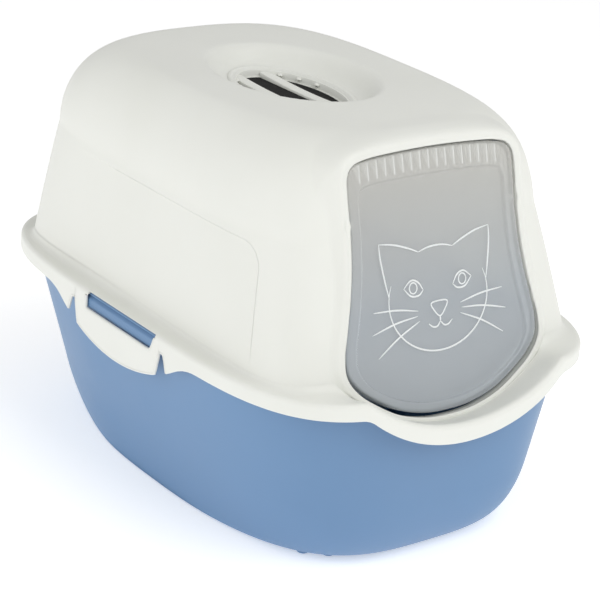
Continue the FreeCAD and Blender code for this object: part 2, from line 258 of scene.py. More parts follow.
def moulded(name, first, second, rough_low, rough_high, soak):
    """Moulded polypropylene: mottled colour and gloss, a fine grain, and light that soaks in by soak."""
    made, tree, shader, place = start_material(name, IOR=1.49, Subsurface_Weight=soak, Subsurface_Scale=0.004,
                                               Subsurface_Radius=(1.0, 1.0, 0.9))
    mottle(tree, place, shader, first, second, 90.0, rough_low, rough_high)
    grain = add_node(tree, "ShaderNodeTexNoise", {"Vector": place, "Scale": 1000 / 1.2, "Detail": 2.0})
    bump = add_node(tree, "ShaderNodeBump", {"Height": (grain, 0), "Strength": 0.12, "Distance": 0.0002})
    tree.links.new(bump.outputs[0], shader.inputs["Normal"])
    return made, tree, shader, place, bump


hood_plastic, hood_tree, hood_shader, hood_place, hood_bump = moulded(
    "hood_polypropylene_off_white", "#E3E4DD", "#E9EAE4", 0.40, 0.50, 0.12)
tray_plastic = moulded("tray_polypropylene_blue", "#6487AE", "#6B8EB4", 0.36, 0.48, 0.05)[0]
print("made", [material.name for material in bpy.data.materials])

# %% [markdown]
# On each long side of the hood the tool was polished inside a panel with rounded corners, which
# leaves a step you can hardly feel. A step that fine needs no mesh: the shader works out how far
# a point is from the panel's outline and bumps the surface over two millimetres there.

# %% Panel step in the hood's sides
def panel_step(tree, place, below):
    """Signed distance to a rounded rectangle in Y and Z, whose front leans back as it rises; the step
    fades out near the ledge and towards the rear."""
    def math_node(operation, a, b=0.0, c=0.0):
        return (add_node(tree, "ShaderNodeMath", {0: a, 1: b, 2: c}, operation=operation), 0)

    middle_y, half, top_z, radius = -0.0565, 0.1565, 0.297, 0.022
    axes = add_node(tree, "ShaderNodeSeparateXYZ", {0: place})
    leaned = math_node("MULTIPLY_ADD", (axes, 2), -0.20, (axes, 1))
    across = math_node("SUBTRACT", math_node("ABSOLUTE", math_node("ADD", leaned, -middle_y)), half - radius)
    up = math_node("SUBTRACT", (axes, 2), top_z - radius)
    corner = math_node("SQRT", math_node("ADD",
                       math_node("POWER", math_node("MAXIMUM", across, 0.0), 2.0),
                       math_node("POWER", math_node("MAXIMUM", up, 0.0), 2.0)))
    distance = math_node("ADD", corner, math_node("MINIMUM", math_node("MAXIMUM", across, up), 0.0))
    step = add_node(tree, "ShaderNodeMapRange", {"Value": distance, "From Min": 0.0211, "From Max": 0.0229},
                    interpolation_type="SMOOTHSTEP")
    low = add_node(tree, "ShaderNodeMapRange", {"Value": (axes, 2), "From Min": 0.190, "From Max": 0.215})
    rear = add_node(tree, "ShaderNodeMapRange", {"Value": (axes, 1), "From Min": 0.140, "From Max": 0.060})
    shown = math_node("MULTIPLY", (low, 0), (rear, 0))
    return add_node(tree, "ShaderNodeBump", {"Height": (step, 0), "Strength": shown, "Distance": 0.0009,
                                             "Normal": (below, 0)})


stepped = panel_step(hood_tree, hood_place, hood_bump)
hood_tree.links.new(stepped.outputs[0], hood_shader.inputs["Normal"])
print("panel step bumps", hood_plastic.name)

# %% [markdown]
# The door is clear polystyrene with a smoky tint and a satin inside. A sheet this thin bends light
# too little to notice, so each of its two faces lets most light straight through and scatters the
# rest as haze; that is quicker than refraction and lets the lamps light the cabin behind it. Its
# raised lines and ribs are coloured almost white, a painted highlight for the light their edges catch.
# The haze is painted lighter and warmer towards the top, standing in for the lit roof seen through
# it, than at the bottom, where the tray stands behind it.
# The filter is needled fleece filled with carbon: matt, near black, with short fibres.

# %% Door and filter materials
door_plastic, door_tree, door_shader, door_place = start_material(
    "door_polystyrene_smoky", IOR=1.59, Alpha=0.36)
mottle(door_tree, door_place, door_shader, "#DEE5EA", "#E2E8EC", 60.0, 0.13, 0.19)
# Painted light: with height the haze mixes towards a lighter, warmer colour, standing in for the lit roof
# seen through the door.
upright = add_node(door_tree, "ShaderNodeSeparateXYZ", {0: door_place})
painted_light_by_height = add_node(door_tree, "ShaderNodeMapRange",
                  {"Value": (upright, 2), "From Min": 0.24, "From Max": 0.36})
haze = door_shader.inputs["Base Color"].links[0].from_node
painted_roof_glow = add_node(door_tree, "ShaderNodeMix", {0: (painted_light_by_height, 0), 6: (haze, 2), 7: linear("#F3F2EC")},
                data_type="RGBA")
door_tree.links.new(painted_roof_glow.outputs[2], door_shader.inputs["Base Color"])
# Painted highlight: the raised lines and ribs are coloured near white for the light that their edges catch.
painted_highlight_plastic, line_tree, line_shader, line_place = start_material(
    "door_polystyrene_line_painted_highlight", IOR=1.59, Alpha=0.9)
mottle(line_tree, line_place, line_shader, "#EEF2F3", "#F8FAFA", 20.0, 0.3, 0.4)
fleece, fleece_tree, fleece_shader, fleece_place = start_material("filter_fleece_carbon", IOR=1.45)
mottle(fleece_tree, fleece_place, fleece_shader, "#060606", "#121211", 6.0, 0.85, 0.95)
fibres = add_node(fleece_tree, "ShaderNodeTexNoise",
                  {"Vector": fleece_place, "Scale": 1000 / 1.5, "Detail": 6.0})
nap = add_node(fleece_tree, "ShaderNodeBump", {"Height": (fibres, 0), "Strength": 0.6, "Distance": 0.001})
fleece_tree.links.new(nap.outputs[0], fleece_shader.inputs["Normal"])
print("made", len(bpy.data.materials), "materials")

# %% [markdown]
# ## Outlines
# Seen from above, every wall is a squared oval: round corners and sides that bow a little. Its
# power sets how square it is, 2 for an ellipse and 8 for nearly a rectangle. The skirt's lower
# line dips under the door and at each clip: a bowl arc with a blend arc at each end.

# %% Squared ovals and dips
LEDGE = 185.0
LEAN = 0.282
WALL_LOW, ROLL_START, ROLL_IN = 189.0, 305.5, 43.9
FOOT_DIP = (46.5, 175.0)
RIM_POWER = 4.1


def squared_oval(theta, a, b, power):
    """Radius at an angle: (|cos/a|^power + |sin/b|^power) to the power of -1/power."""
    return (np.abs(np.cos(theta) / a) ** power + np.abs(np.sin(theta) / b) ** power) ** (-1 / power)


def ring(theta, a, b, middle, power, z):
    """Points at each angle on a squared oval round (0, middle), at height z."""
    r = squared_oval(theta, a, b, power)
    return np.stack([r * np.cos(theta), middle + r * np.sin(theta), z + 0 * r], -1)


def spaced_angles(a, b, power, spacing):
    """Angles round a squared oval, so far apart in mm as spacing(x, y) says at each place."""
    theta = np.linspace(-np.pi, np.pi, 20001)
    x, y = ring(theta, a, b, 0.0, power, 0.0)[:, :2].T
    steps = np.cumsum(np.hypot(np.diff(x), np.diff(y)) / spacing(x[1:], y[1:]))
    count = int(steps[-1])
    return np.interp(np.arange(count) * steps[-1] / count, np.r_[0, steps], theta)


def dip(u, depth, bowl, blend=35.0):
    """How far a level line drops at u mm from the middle of a dip: a bowl arc between blend arcs."""
    u = np.abs(u)
    start = math.sqrt(depth * (2 * bowl - depth + 2 * blend))
    middle = depth - bowl + np.sqrt(np.maximum(bowl ** 2 - u ** 2, 0))
    side = blend - np.sqrt(np.maximum(blend ** 2 - (start - u) ** 2, 0))
    return np.where(u < start * bowl / (bowl + blend), middle, np.where(u < start, side, 0.0))


def front_dip(points, depth, bowl, blend=35.0):
    """The dip under the door: only points at the front drop, by their distance x from the middle."""
    return np.where(points[..., 1] < -100, dip(points[..., 0], depth, bowl, blend), 0.0)


def hood_ring(theta, z, roll):
    """The hood's outline at height z; roll goes from 0 where the roof starts to round, to 1 on top."""
    climb = np.clip((z - WALL_LOW) / (ROLL_START - WALL_LOW), 0, 1)
    brow = np.clip((z - 350) / 40, 0, 1)
    front = -231.1 + LEAN * (z - 200) + 22 * (1 - np.sqrt(1 - brow ** 2))
    back = 237.5 - ROLL_IN * roll
    a = 178.8 - 0.133 * (np.minimum(z, ROLL_START) - WALL_LOW) - ROLL_IN * roll
    return ring(theta, a, (back - front) / 2, (back + front) / 2, 8.3 - 2.74 * climb - 3.16 * roll, z)


def rim_ring(theta, inset=0.0):
    """The outline of the hood's rim, inset mm in from its outside."""
    return ring(theta, half_width - inset, half_length - inset, 0.0, RIM_POWER, 0.0)


print("the dip under the door at its middle and 100 mm aside:", dip(np.array([0.0, 100.0]), *FOOT_DIP))

# %% [markdown]
# ## Door opening
# The opening is a bell: narrow at the top, wide at the hips, with a bowl below. The front wall
# leans back, so the outline is drawn in the wall's own plane: x across, s up the wall from the
# hinge line. The signed distance to this line cuts the hole and shapes the raised rim round it.

# %% The front plane and the bell outline
lean = math.atan(LEAN)
up_wall = np.array([0, math.sin(lean), math.cos(lean)])
out_wall = np.array([0, -math.cos(lean), math.sin(lean)])
hinge = np.array(joints["door_swing"]["pos_m"]) / MM
wall_start = hinge + 4.0 * out_wall


def on_front(flat, depth=0.0):
    """(x, s) points of the front plane as points in space, depth mm out of the wall."""
    flat, depth = np.asarray(flat, float), np.asarray(depth, float)[..., None]
    return wall_start + flat[..., :1] * [1, 0, 0] + flat[..., 1:] * up_wall + depth * out_wall


def mirrored(half):
    """A closed outline from its right half, given as (x, height) from the top down to the bottom."""
    half = np.array(half, float)
    half[:, 1] = (half[:, 1] - wall_start[2]) / math.cos(lean)
    left = half[-2:0:-1] * [-1, 1]
    return smooth_line(np.concatenate([half, left]), 9, closed=True)


def drawn_in(loop, inset):
    """A closed outline moved inwards by inset mm along its own normals."""
    along = np.roll(loop, -1, 0) - np.roll(loop, 1, 0)
    along /= np.linalg.norm(along, axis=1, keepdims=True)
    inward = np.stack([along[:, 1], -along[:, 0]], -1)
    return loop + inset * inward


def outline_gap(flat, loop):
    """Distance of points from a closed outline in mm, below 0 inside it."""
    start, step = loop[None], (np.roll(loop, -1, 0) - loop)[None]
    rel = flat[:, None] - start
    share = np.clip((rel * step).sum(-1) / (step ** 2).sum(-1), 0, 1)
    gap = np.linalg.norm(rel - share[..., None] * step, axis=-1).min(1)
    rise = np.where(np.abs(step[..., 1]) < 1e-9, 1e-9, step[..., 1])
    crossing = ((rel[..., 1] >= 0) != (rel[..., 1] - step[..., 1] >= 0)) & (
        rel[..., 0] < rel[..., 1] / rise * step[..., 0])
    return np.where(crossing.sum(1) % 2 == 1, -gap, gap)


opening = mirrored([(0, 378), (45, 377), (74, 375), (90, 371), (97, 362), (98.2, 345), (98, 318), (99.5, 288),
                    (103.5, 260), (109.5, 233), (114.5, 212), (114, 194), (103, 178.5), (84, 165),
                    (58, 151.5), (28, 143.8), (0, 142)])
print("opening spans", np.round(opening.min(0)), "to", np.round(opening.max(0)), "in (x, s)")

# %% [markdown]
# ## Hood
# The walls go up with a little draft, roll over into a flat roof, and the roof dips into a hand
# recess round the vent. One grid holds all of it: rows climb the wall, follow the roll by its
# angle, and then shrink towards the middle of the roof. Near the opening the wall is pushed out
# to a soft raised rim. The columns are closer together at the front, where the detail is.

# %% Hood dome
VENT = (44.0, 74.0)
RECESS_FLOOR = (52.0, 82.0)
RECESS_RIM = (81.0, 102.0)
RECESS_Y = 25.0
RECESS_DEPTH = 18.0
BROW = 2.8
HOOD_WALL = 2.4


def oval_share(points, size):
    """Distance from the recess's middle as a share of an oval of that size: 1 on its line."""
    return np.hypot(points[..., 0] / size[0], (points[..., 1] - RECESS_Y) / size[1])


theta = spaced_angles(175, 235, 8, lambda x, y: np.where((y < -150) & (np.abs(x) < 150), 2.3, 6.0))
foot = np.full(len(theta), LEDGE)
for repeat in range(4):
    foot = LEDGE - front_dip(hood_ring(theta, foot, 0.0), *FOOT_DIP)
climb = np.linspace(0, 1, 50)[:, None]
turn = np.linspace(0, np.pi / 2, 30)[1:, None]
walls = hood_ring(theta[None], foot - 1 + (ROLL_START + 1 - foot) * climb, 0.0)
roll = hood_ring(theta[None], ROLL_START + (height - ROLL_START) * np.sin(turn), 1 - np.cos(turn))
shrink = np.linspace(1, 0.02, 40)[1:, None, None]
middle = np.array([0, roll[-1, :, 1].mean(), height])
roof = middle + shrink * (roll[-1][None] - middle)
dome = np.concatenate([walls, roll, roof])
to_rim = np.maximum(1 - oval_share(dome, RECESS_RIM), 0)
to_floor = np.maximum(oval_share(dome, RECESS_FLOOR) - 1, 0)
sunk = smooth(to_rim / (to_rim + 0.75 * to_floor + 1e-9))
dome[..., 2] -= RECESS_DEPTH * sunk * (dome[..., 2] > height - 1)
dome_faces = triangles(grid_faces(len(dome), len(theta)))
points = dome.reshape(-1, 3)
rel = points - wall_start
flat = np.stack([rel[:, 0], rel @ up_wall], -1)
near = (points[:, 1] < -100) & (np.abs(points[:, 0]) < 160)
gap = np.full(len(points), 50.0)
gap[near] = outline_gap(flat[near], opening)
short = np.maximum(-(rel @ out_wall), 0)
reach = np.minimum(10 + 1.2 * short, 24)
pushed = smooth((reach - gap) / (reach - 5)) * np.maximum(BROW - rel @ out_wall, 0) * near
points = points + pushed[:, None] * out_wall
keep = np.minimum(gap, np.where(points[:, 2] > 360, (oval_share(points, VENT) - 1) * VENT[0], 50))
add_piece("hood_dome", [cut(points, dome_faces, keep)], hood_plastic, "hood",
          ["hood_shell"], sharp=50, wall=HOOD_WALL)

# %% [markdown]
# The ledge and skirt hang round the foot of the walls. Their section is the same all the way
# round: a small fillet, the ledge, a rounded edge, the skirt, and a rolled lower edge. It is
# carried round between the foot of the wall and the rim's outline. At each side a part of the
# skirt is cut free as the clip, with a slit at each end and a window above.

# %% Hood rim
def rounded_inside(first, second, radius):
    """Signed distance to where two areas overlap, with that corner rounded."""
    corner = np.hypot(np.maximum(first + radius, 0), np.maximum(second + radius, 0))
    return corner - radius + np.minimum(np.maximum(first, second) + radius, 0)


def clip_half(z):
    """Half the clip's width at height z: upright above 167, drawn in below."""
    return CLIP_HALF - 0.24 * np.maximum(167 - z, 0)


def slit_half(z):
    """Half the distance between the outer sides of the two slits at height z."""
    return 82 + 0.33 * (167 - z)


CLIP_Y = 6.0
CLIP_HALF = 74.0
CLIP_TOP = 180.5
CLIP_LOW = 132.5
CLIP_BOWL = 190.0
SLIT_TOP = 170.5
WINDOW_LOW = 165.5
WINDOW_REAR = 60.5
ROUND = 4.5
EDGE = 1.2
ROLLED = EDGE + 0.35

rim_theta = spaced_angles(half_width, half_length, RIM_POWER, lambda x, y: np.where(
    (np.abs(y - CLIP_Y) < 98) & (np.abs(x) > 150), 1.7, np.where(y < -150, 4.0, 7.0)))
rim_foot = np.full(len(rim_theta), LEDGE)
for repeat in range(4):
    inner = hood_ring(rim_theta, rim_foot, 0.0)
    rim_foot = LEDGE - front_dip(inner, *FOOT_DIP)
outer = rim_ring(rim_theta)
span = outer[:, :2] - inner[:, :2]
width = np.linalg.norm(span, axis=1)
toward = span / width[:, None]
rim_top = LEDGE - front_dip(outer, 38.0, 195.0, 14.0)
rim_low = 169.0 - front_dip(outer, 41.0, 180.0, 18.0) - np.where(
    np.abs(outer[:, 0]) > 150, dip(outer[:, 1] - CLIP_Y, 37.0, 190.0, 60.0), 0.0) + EDGE
fillet = np.where(outer[:, 1] < -100, 0.3 + 6.2 * smooth((np.abs(inner[:, 0]) - 100) / 25), 6.5)


def section(angle, build):
    """Rows of the section for each value of angle, from a function of that value."""
    rows = [build(value) for value in angle]
    return [np.array([row[k] + 0 * width for row in rows]) for k in (0, 1)]


wall_back = ((hood_ring(rim_theta, rim_foot + fillet, 0.0) - inner)[:, :2] * toward).sum(1)
quarter = np.linspace(0, np.pi / 2, 6)
pieces = [section(quarter, lambda t: (fillet * (1 - np.cos(t)) + wall_back * (1 - np.sin(t)),
                                      rim_foot + fillet * (1 - np.sin(t)))),
          section(np.linspace(0, 1, 8)[1:-1], lambda t: (fillet + (width - ROUND - fillet) * t,
                                                         rim_foot + (rim_top - rim_foot) * t)),
          section(quarter, lambda t: (width - ROUND + ROUND * np.sin(t),
                                      rim_top - ROUND + ROUND * np.cos(t))),
          section(np.linspace(0, 1, 22)[1:],
                  lambda t: (width, rim_top - ROUND + (rim_low - rim_top + ROUND) * t)),
          section(quarter[1:] * 2,
                  lambda t: (width - EDGE + EDGE * np.cos(t), rim_low - EDGE * np.sin(t))),
          section((0.25, 0.5, 0.75, 1),
                  lambda t: (width - 2 * EDGE, rim_low + (rim_top - 2.6 - rim_low) * t)),
          section((1,), lambda t: (-1.0, rim_foot - 2.5))]
reach_out = np.concatenate([piece[0] for piece in pieces])
rim_z = np.concatenate([piece[1] for piece in pieces])
rim = np.concatenate([inner[None, :, :2] + toward[None] * reach_out[..., None], rim_z[..., None]], -1)
flat_rim = rim.reshape(-1, 3)
aside = np.abs(flat_rim[:, 1] - CLIP_Y)
tab = np.maximum(flat_rim[:, 2] - CLIP_TOP, aside - CLIP_HALF)
slit = rounded_inside(flat_rim[:, 2] - SLIT_TOP, aside - slit_half(flat_rim[:, 2]), 4.0)
window = np.maximum(flat_rim[:, 2] - 184.0, np.abs(flat_rim[:, 1] + 2) - 58)
rim_keep = np.where(np.abs(flat_rim[:, 0]) > 150, np.minimum(np.minimum(tab, slit), window), 50.0)
rim_faces = triangles(grid_faces(len(rim), len(rim_theta))[:, ::-1])


def skirt_point(side, y, z, depth=0.0):
    """A point of the skirt beside the clip: x follows the rim's outline, depth mm in from it."""
    y, z = np.asarray(y, float), np.asarray(z, float)
    x = half_width * (1 - np.abs(y / half_length) ** RIM_POWER) ** (1 / RIM_POWER) - depth
    return np.stack([side * x + 0 * z, y + 0 * z, z + 0 * y], -1)


def slit_edges():
    """A rolled edge up the hood's side of each slit and over its top."""
    low, arch = np.linspace(154, 165.5, 5), np.linspace(0, np.pi / 2, 6)
    u = np.r_[slit_half(low), slit_half(168.0) - 4 + 4 * np.cos(arch), 75.0]
    z = np.r_[low, SLIT_TOP - 4 + 4 * np.sin(arch), SLIT_TOP]
    return [tube(skirt_point(side, CLIP_Y + end * u, z, EDGE), ROLLED, normal=(side, 0, 0))
            for side in (-1, 1) for end in (-1, 1)]


add_piece("hood_rim", [cut(flat_rim, rim_faces, rim_keep)] + slit_edges(), hood_plastic, "hood",
          sharp=45)

# %% [markdown]
# A lip runs round the opening, a moulded edge that stiffens it and stops the eye from seeing how
# thin the wall is. It is one section carried along the bell outline. On each side it swells
# into a small boss for the door's pin.

# %% Door frame lip
def carried(loop, section_points, bosses=0.0):
    """A closed section of (distance out from the outline, depth) points carried along an outline."""
    rows = [on_front(drawn_in(loop, -d), depth + bosses * (depth > 0)) for d, depth in section_points]
    rows = np.array(rows + rows[:1])
    return rows, grid_faces(len(rows), len(loop))


lip = [(5.5, 1.4), (4.2, 2.5), (2.6, 3.05), (1.2, 3.05), (0.5, 2.8), (0.1, 2.3), (0, 1.6), (0, -8),
       (0.6, -8.6), (2.0, -8.6), (2.5, -8), (2.6, -0.6)]
swell = 1.6 * np.exp(-((opening[:, 1]) / 5.0) ** 2)
add_piece("hood_door_lip", [carried(opening, lip, swell)], hood_plastic, "hood", sharp=60)

# %% [markdown]
# ## Clips
# Each clip is a piece of the skirt that hangs from the ledge by a thin strip, which bends. It is
# a plate with a bowl-shaped lower edge and a window; its edges are rolled like the skirt's. Here
# the plate rides on no body and stays where it is made.

# %% Snap clips
def clip_bowl(u):
    """Height of the lower edge's middle line u mm from the clip's middle: an arc of radius CLIP_BOWL."""
    return CLIP_LOW + EDGE + CLIP_BOWL - np.sqrt(CLIP_BOWL ** 2 - u ** 2)


def clip_plate(side):
    """Rows from the bowl-shaped lower edge to the strip, columns between the slanted ends."""
    across = np.linspace(-1, 1, 110)[None]
    rise = np.linspace(0, 1, 34)[:, None]
    u = 72 * across + 0 * rise
    for repeat in range(4):
        low = clip_bowl(u)
        z = low + (CLIP_TOP - low) * rise
        u = (clip_half(z) - EDGE + 2.0 * smooth((z - 169) / 3)) * across
    tuck = 0.35 * smooth(np.abs(u) - 73)
    plate = skirt_point(side, CLIP_Y + u, z, tuck).reshape(-1, 3)
    front_end = -52 - 0.42 * (plate[:, 2] - WINDOW_LOW)
    beyond = np.maximum(plate[:, 1] - WINDOW_REAR, front_end - plate[:, 1])
    hole = rounded_inside(WINDOW_LOW - plate[:, 2], beyond, 2.0)
    faces = triangles(grid_faces(34, 110, wrap=False))
    return cut(plate, faces if side > 0 else faces[:, ::-1], hole)


def clip_edges(side):
    """The rolled edge round the plate, and another round the window."""
    z = np.linspace(171.5, 151, 14)
    u = clip_half(z) - EDGE
    bowl = np.linspace(67.5, -67.5, 40)
    low = clip_bowl(bowl)
    around = skirt_point(side, CLIP_Y + np.r_[u, bowl, -u[::-1]], np.r_[z, low, z[::-1]], EDGE)
    hole = smooth_line([(WINDOW_REAR, 179.5), (WINDOW_REAR, 172), (60.3, 167.5), (58, 165.5), (50, 165.4),
                        (20, 165.4), (-20, 165.4), (-46, 165.4), (-52, 166.5), (-55, 171), (-58.5, 179.5)], 5)
    inside = skirt_point(side, hole[:, 0], hole[:, 1], EDGE)
    return [tube(path, ROLLED, normal=(side, 0, 0)) for path in (around, inside)]


for side, body, cad_node in ((-1, "clip_left", "left_clip"), (1, "clip_right", "right_clip")):
    plate, plate_faces = clip_plate(side)
    back = plate - [side * 2 * EDGE, 0, 0]
    shells = [(plate, plate_faces), (back, plate_faces[:, ::-1])] + clip_edges(side)
    fixed, free = (np.array([side * 198.7, CLIP_Y, z]) for z in (182.3, 178.0))
    add_piece(body, shells, hood_plastic, body, [cad_node], hinge_from=("hood", fixed, free))

# %% [markdown]
# ## Tray
# Walls with draft come down to a knee, roll under and end in a rounded floor. Inside and outside
# are the same surface, one wall thickness apart, so the whole tray is one closed grid: from the
# middle of the floor outside, up, over the flange, down again and to the middle inside.

# %% Tray
KNEE, FLOOR = 61.0, 3.0
WALL_TOP, FLANGE_LOW = 180.0, 179.7
TRAY_WALL = 2.8


def tray_ring(theta, z, inset):
    """The tray's outline at height z: straight walls, and below the knee a rounding added to them.
    Each value is given at the top, at the knee and at the floor; front and rear halves differ."""
    rise = (z - KNEE) / (WALL_TOP - KNEE)
    deep = np.clip((KNEE - z) / (KNEE - FLOOR), 0, 1)
    roll = 1 - np.sqrt(1 - deep ** 2)

    def run(top, knee, floor):
        drift = (top - knee) * (KNEE - FLOOR) / (WALL_TOP - KNEE)
        return knee + (top - knee) * rise + roll * (floor - knee + drift)

    def power(top, knee, floor):
        return knee + (top - knee) * np.maximum(rise, 0) + roll * (floor - knee)

    a = run(194.3, 162.2, 155.2) - inset
    b = np.where(theta < 0, run(265.3, 257.7, 228.7), run(265.3, 251.8, 201.0)) - inset
    return ring(theta, a, b, 0.0, np.where(theta < 0, power(3.72, 3.86, 2.82), power(3.72, 3.31, 2.82)), z)


def tray_side(theta, inset):
    """Rows from the floor's middle up to the flange, inset mm in from the outside."""
    turn = np.linspace(np.pi / 2, 0, 30)[:, None]
    rolled = tray_ring(theta[None], KNEE - (KNEE - FLOOR) * np.sin(turn), inset)
    middle = np.array([0, -12.0, FLOOR])
    floor = middle + np.linspace(0, 1, 9)[:-1, None, None] * (rolled[0][None] - middle)
    top = FLANGE_LOW - front_dip(tray_ring(theta, FLANGE_LOW, inset), *FOOT_DIP)
    wall_z = KNEE + (top - KNEE) * np.linspace(0, 1, 26)[1:, None]
    side = np.concatenate([floor, rolled, tray_ring(theta[None], wall_z, inset)])
    side[..., 2] += inset * np.clip((KNEE - side[..., 2]) / (KNEE - FLOOR), 0, 1)
    return side


tray_theta = spaced_angles(194, 265, 3.8, lambda x, y: np.where(y < -120, 4.0, 6.0))
outside = tray_side(tray_theta, 0.0)
inside = tray_side(tray_theta, TRAY_WALL)
flange = [rim_ring(tray_theta, inset) for inset in (4.0, 3.2, 3.2, 4.0)]
for row, z in zip(flange, (FLANGE_LOW, 180.4, 181.5, 182.2)):
    row[:, 2] = z - front_dip(row, *FOOT_DIP)
lip_inside = inside[-1] + [0, 0, 2.5]
tray = np.concatenate([outside, flange, [lip_inside], inside[::-1]])


def bar(side):
    """The bar that each clip closes over: an upright face, and a slope above a rounded edge."""
    y = np.linspace(-66, 72, 40)
    section_points = [(10, 166.5), (4.2, 166.5), (3.4, 167.3), (3.1, 168.5), (3.1, 174.5), (3.3, 175.6),
                      (4.0, 176.6), (6.5, 179.4), (10, 181.5), (12, 181.5), (12, 166.5)]
    rows = np.array([skirt_point(side, y, z + 0 * y, depth) for depth, z in section_points])
    faces = grid_faces(len(rows), len(y), wrap=False)
    return rows, faces if side < 0 else faces[:, ::-1]


add_piece("tray_shell", [(tray, grid_faces(len(tray), len(tray_theta))), bar(-1), bar(1)], tray_plastic,
          "tray", ["base_tray"])

# %% Feet under the tray
def peg(x, y):
    """A short round peg turned from a profile of (radius, height) points."""
    profile = np.array([(0, 0), (4.5, 0), (5.6, 0.5), (6.2, 1.6), (7.4, 13), (7.6, 18)])
    turn = np.arange(24) * 2 * np.pi / 24
    r, z = profile[:, :1], profile[:, 1:]
    rows = np.stack([x + r * np.cos(turn), y + r * np.sin(turn), z + 0 * turn], -1)
    return rows, grid_faces(len(rows), len(turn))


pegs = [peg(side * x, y) for side in (-1, 1) for x, y in ((109, -190), (91, -205), (109, 165), (91, 180))]
add_piece("tray_feet", pegs, tray_plastic, "tray")

# %% [markdown]
# ## Door
# The door is a shallow clear box, open to the inside: a raised border with a rounded edge, a
# panel set back in the middle, and a wall round the edge. Rings of the bell outline, each with its
# own depth, make it: they start at the middle of the panel, step over the border, run back along
# the wall and return behind the panel.

# %% Door flap
panel_edge = mirrored([(0, 351.5), (42, 351), (66, 350), (78, 347.5), (82.5, 341), (83, 330), (83, 312),
                       (84.5, 285), (88, 258), (93.5, 233), (98, 213), (97.5, 198), (88, 183.5),
                       (71, 172.5), (49, 163), (24, 157.5), (0, 156)])
door_gap = (1.2 + 2.8 * smooth((-90 - opening[:, 1]) / 60))[:, None]
edge = drawn_in(opening, door_gap)
panel_middle = np.array([0, -70.0])


def door_ring(inset, depth, share=0.0):
    """A ring inset from the door's edge; share moves it towards the panel's own outline."""
    return on_front((1 - share) * drawn_in(edge, inset) + share * panel_edge, depth + 0 * edge[:, 0])


def panel_rings(depth, shares):
    """Rings of the panel's own outline, shrunk towards its middle by each share."""
    return [on_front(panel_middle + k * (panel_edge - panel_middle), depth + 0 * edge[:, 0]) for k in shares]


CORNER = 2.2
inward = np.linspace(0, 1, 12)
bend = np.linspace(0, np.pi / 2, 6)
door = panel_rings(-1.9, inward[:-1])
border = ((1, -1.9), (0.95, -1.8), (0.90, -1.1), (0.86, 0.3), (0.82, 1.2), (0.76, 1.5), (0.65, 1.5),
          (0.3, 1.5))
door += [door_ring(CORNER, depth, share) for share, depth in border]
door += [door_ring(CORNER - CORNER * math.sin(t), CORNER * math.cos(t) - 0.7) for t in bend]
box_wall = ((0.0, -8), (0.0, -13), (0.5, -13.8), (1.4, -14), (2.2, -13.6), (2.5, -13), (2.5, -4), (3.0, -2.9),
            (4.0, -2.5))
door += [door_ring(inset, depth) for inset, depth in box_wall]
behind = ((0.4, -2.5), (0.72, -2.6), (0.93, -3.9), (1.0, -4.1))
door += [door_ring(CORNER, depth, share) for share, depth in behind]
door += panel_rings(-4.1, inward[::-1][1:])
door = np.array(door)
door_faces = grid_faces(len(door), len(edge))[:, ::-1]


def pin(side):
    """A round pin that points sideways from the door's wall into the boss."""
    turn = np.arange(20) * 2 * np.pi / 20
    profile = np.array([(0, 91.0), (3, 91.0), (3, 100.5), (2.4, 101.3), (0, 101.3)])
    r, x = profile[:, :1], profile[:, 1:]
    rows = np.stack([side * x + 0 * turn, hinge[1] + r * np.cos(turn), hinge[2] + r * np.sin(turn)], -1)
    faces = grid_faces(len(rows), len(turn))
    return rows, faces if side < 0 else faces[:, ::-1]


add_piece("door_flap_clear", [(door, door_faces), pin(-1), pin(1)], door_plastic, "door",
          ["door_flap"], sharp=50)

# %% Ribs behind the top of the door
RIBS, RIB_SPREAD = 17, 79.5
rib_x = np.linspace(-RIB_SPREAD, RIB_SPREAD, RIBS)
rib_top = edge[:, 1].max() - 2.2 - 4.4 * (rib_x / RIB_SPREAD) ** 2


def ribs():
    """Thin triangles: each runs down the back of the panel and back along the top wall."""
    side = np.array([-0.6, 0.6])[None, :, None]
    drop = np.array([0, -16.5, 0])[None, None]
    depth = np.array([-2.3, -2.3, -13.2])
    flat = np.stack([rib_x[:, None, None] + side + 0 * drop, rib_top[:, None, None] + drop + 0 * side], -1)
    corners = on_front(flat, np.broadcast_to(depth, flat.shape[:3])).reshape(-1, 3)
    start = (np.arange(RIBS) * 6)[:, None]
    tris = np.concatenate([start + [0, 1, 2], start + [5, 4, 3]])
    quads = np.concatenate([start + [0, 3, 4, 1], start + [1, 4, 5, 2], start + [2, 5, 3, 0]])
    return corners, np.concatenate([tris, triangles(quads)])


add_piece("door_ribs", [ribs()], painted_highlight_plastic, "door")

# %% [markdown]
# A cat's face is drawn on the panel in thin raised lines. It is a plain one, with ears, eyes,
# nose, mouth and whiskers made of a few smooth curves, the same on both sides. Each line is a
# flattened tube that tapers at its ends.

# %% Raised lines on the door
def face_line(points, weight=0.85, steps=10, closed=False):
    """A flattened tube through (x, height) points on the panel, thinner towards its ends."""
    line = smooth_line(points, steps, closed)
    line[:, 1] = (line[:, 1] - wall_start[2]) / math.cos(lean)
    share = np.linspace(0, 1, len(line))
    radius = weight if closed else weight * (0.25 + 0.75 * np.sin(np.pi * share) ** 0.5)
    return tube(on_front(line, -1.8 + 0 * share), radius, closed, 0.8, out_wall, 6)


def both(points):
    """A line and its mirror image."""
    return [points, [(-x, z) for x, z in points]]


